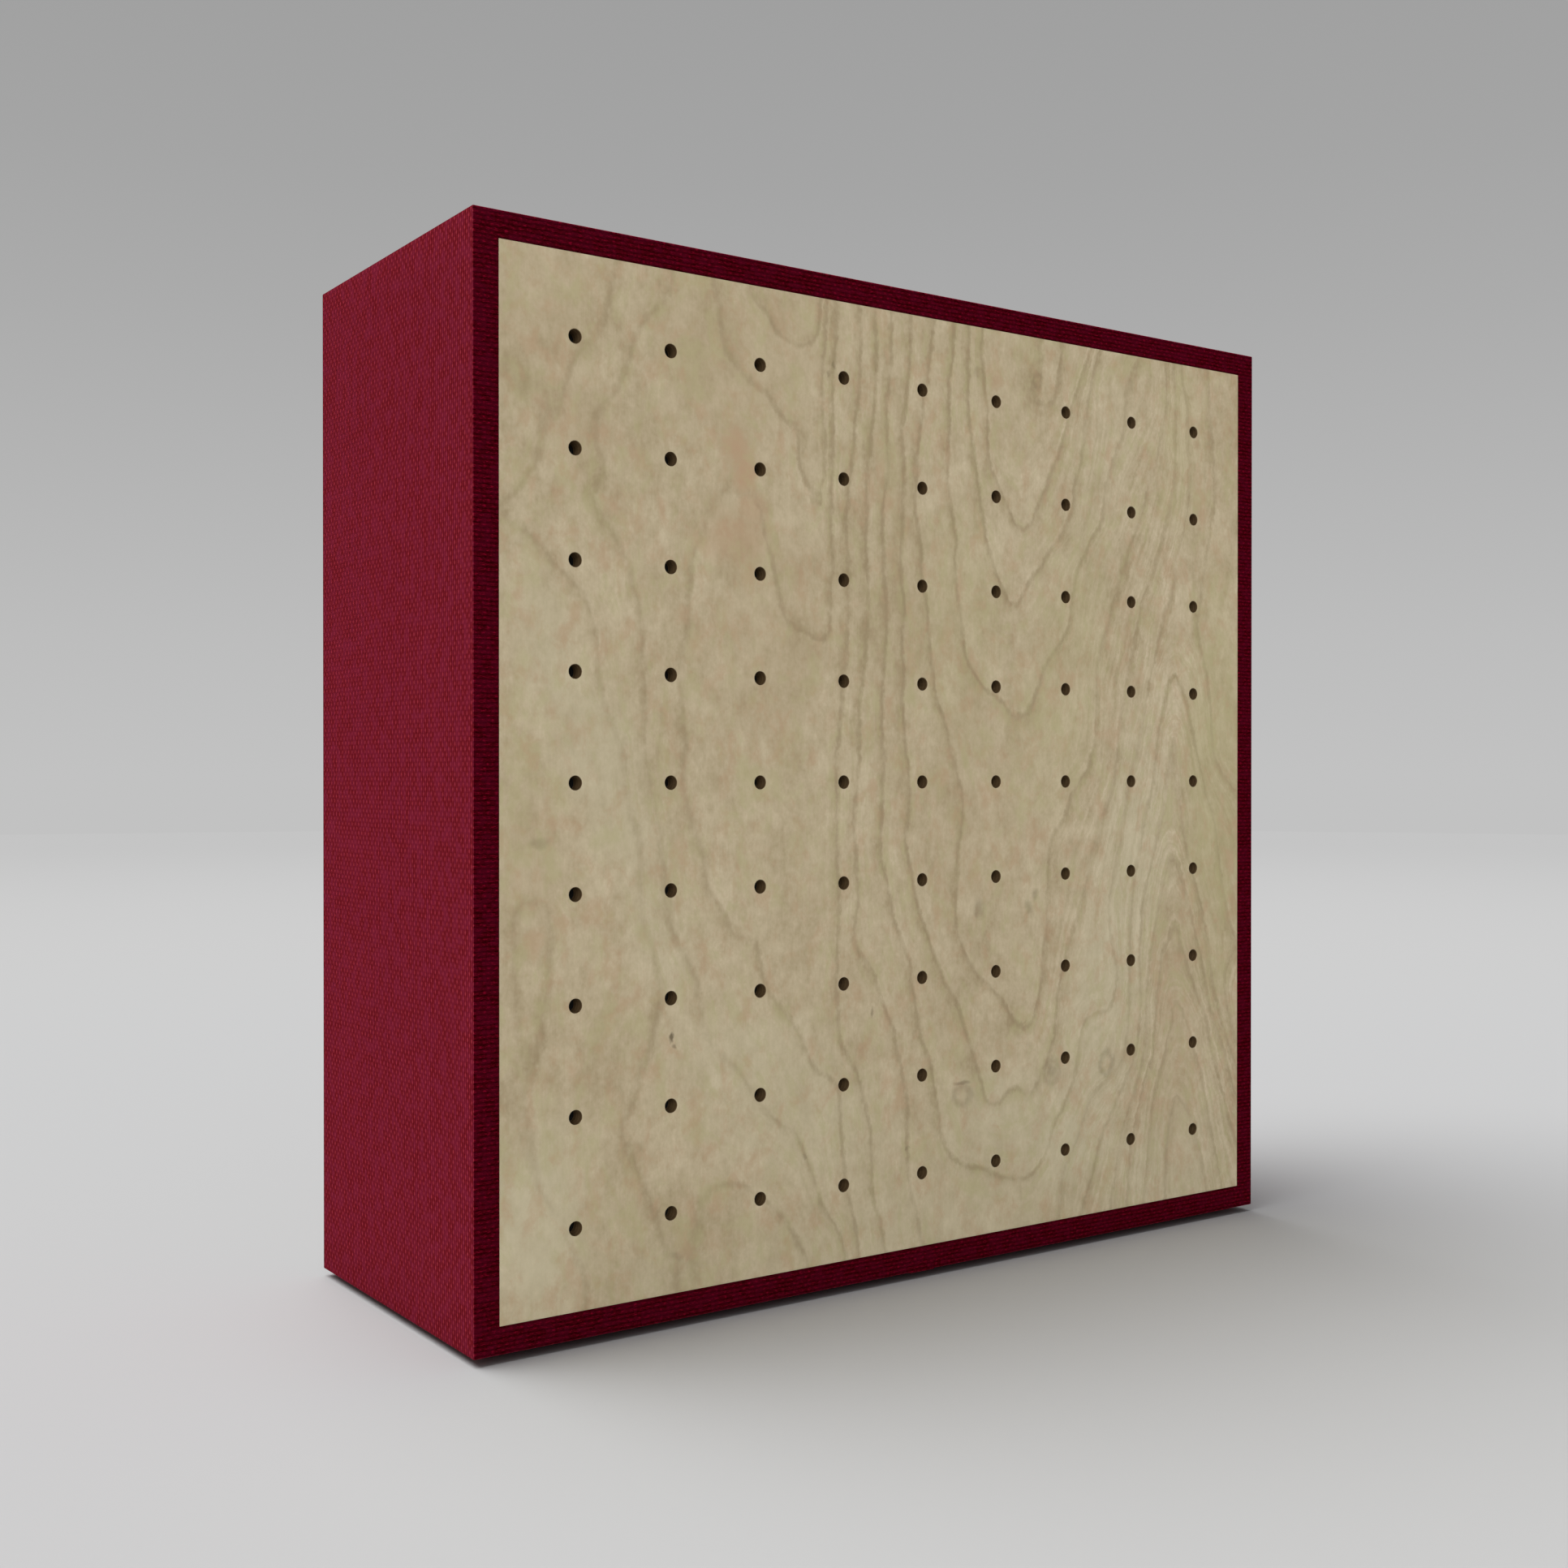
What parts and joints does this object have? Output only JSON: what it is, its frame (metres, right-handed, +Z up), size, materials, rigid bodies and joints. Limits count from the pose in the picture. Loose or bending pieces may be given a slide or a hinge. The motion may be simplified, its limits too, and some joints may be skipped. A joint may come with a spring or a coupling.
{
  "type": "bass trap",
  "caption": "Free-standing box-shaped bass trap: a square perforated plywood front set flush in a fabric-wrapped frame, filled with mineral wool and closed by a back board.",
  "frame": {"origin": "on the floor, under the middle of the box", "axes": "+X to the right seen from the front, +Y from the perforated front to the back, +Z up"},
  "size_m": [0.6, 0.215, 0.6045],
  "materials": {
    "birch_plywood": "matt clear lacquer on a plain-sliced birch face",
    "cover_cloth": "wine red plain-weave speaker cloth",
    "carcass_board": "raw fibreboard",
    "hardboard": "smooth brown hardboard",
    "black_fleece": "thin black glass fleece",
    "mineral_wool": "pressed stone wool",
    "foot_rubber": "dull black rubber"
  },
  "bodies": {
    "root": {"front_panel": "birch_plywood", "cloth_cover": "cover_cloth", "left_board": "carcass_board", "right_board": "carcass_board", "top_board": "carcass_board", "bottom_board": "carcass_board", "back_board": "hardboard", "fleece_sheet": "black_fleece", "wool_slab_front": "mineral_wool", "wool_slab_rear": "mineral_wool", "foot_front_left": "foot_rubber", "foot_front_right": "foot_rubber", "foot_back_left": "foot_rubber", "foot_back_right": "foot_rubber"}
  },
  "joints": []
}
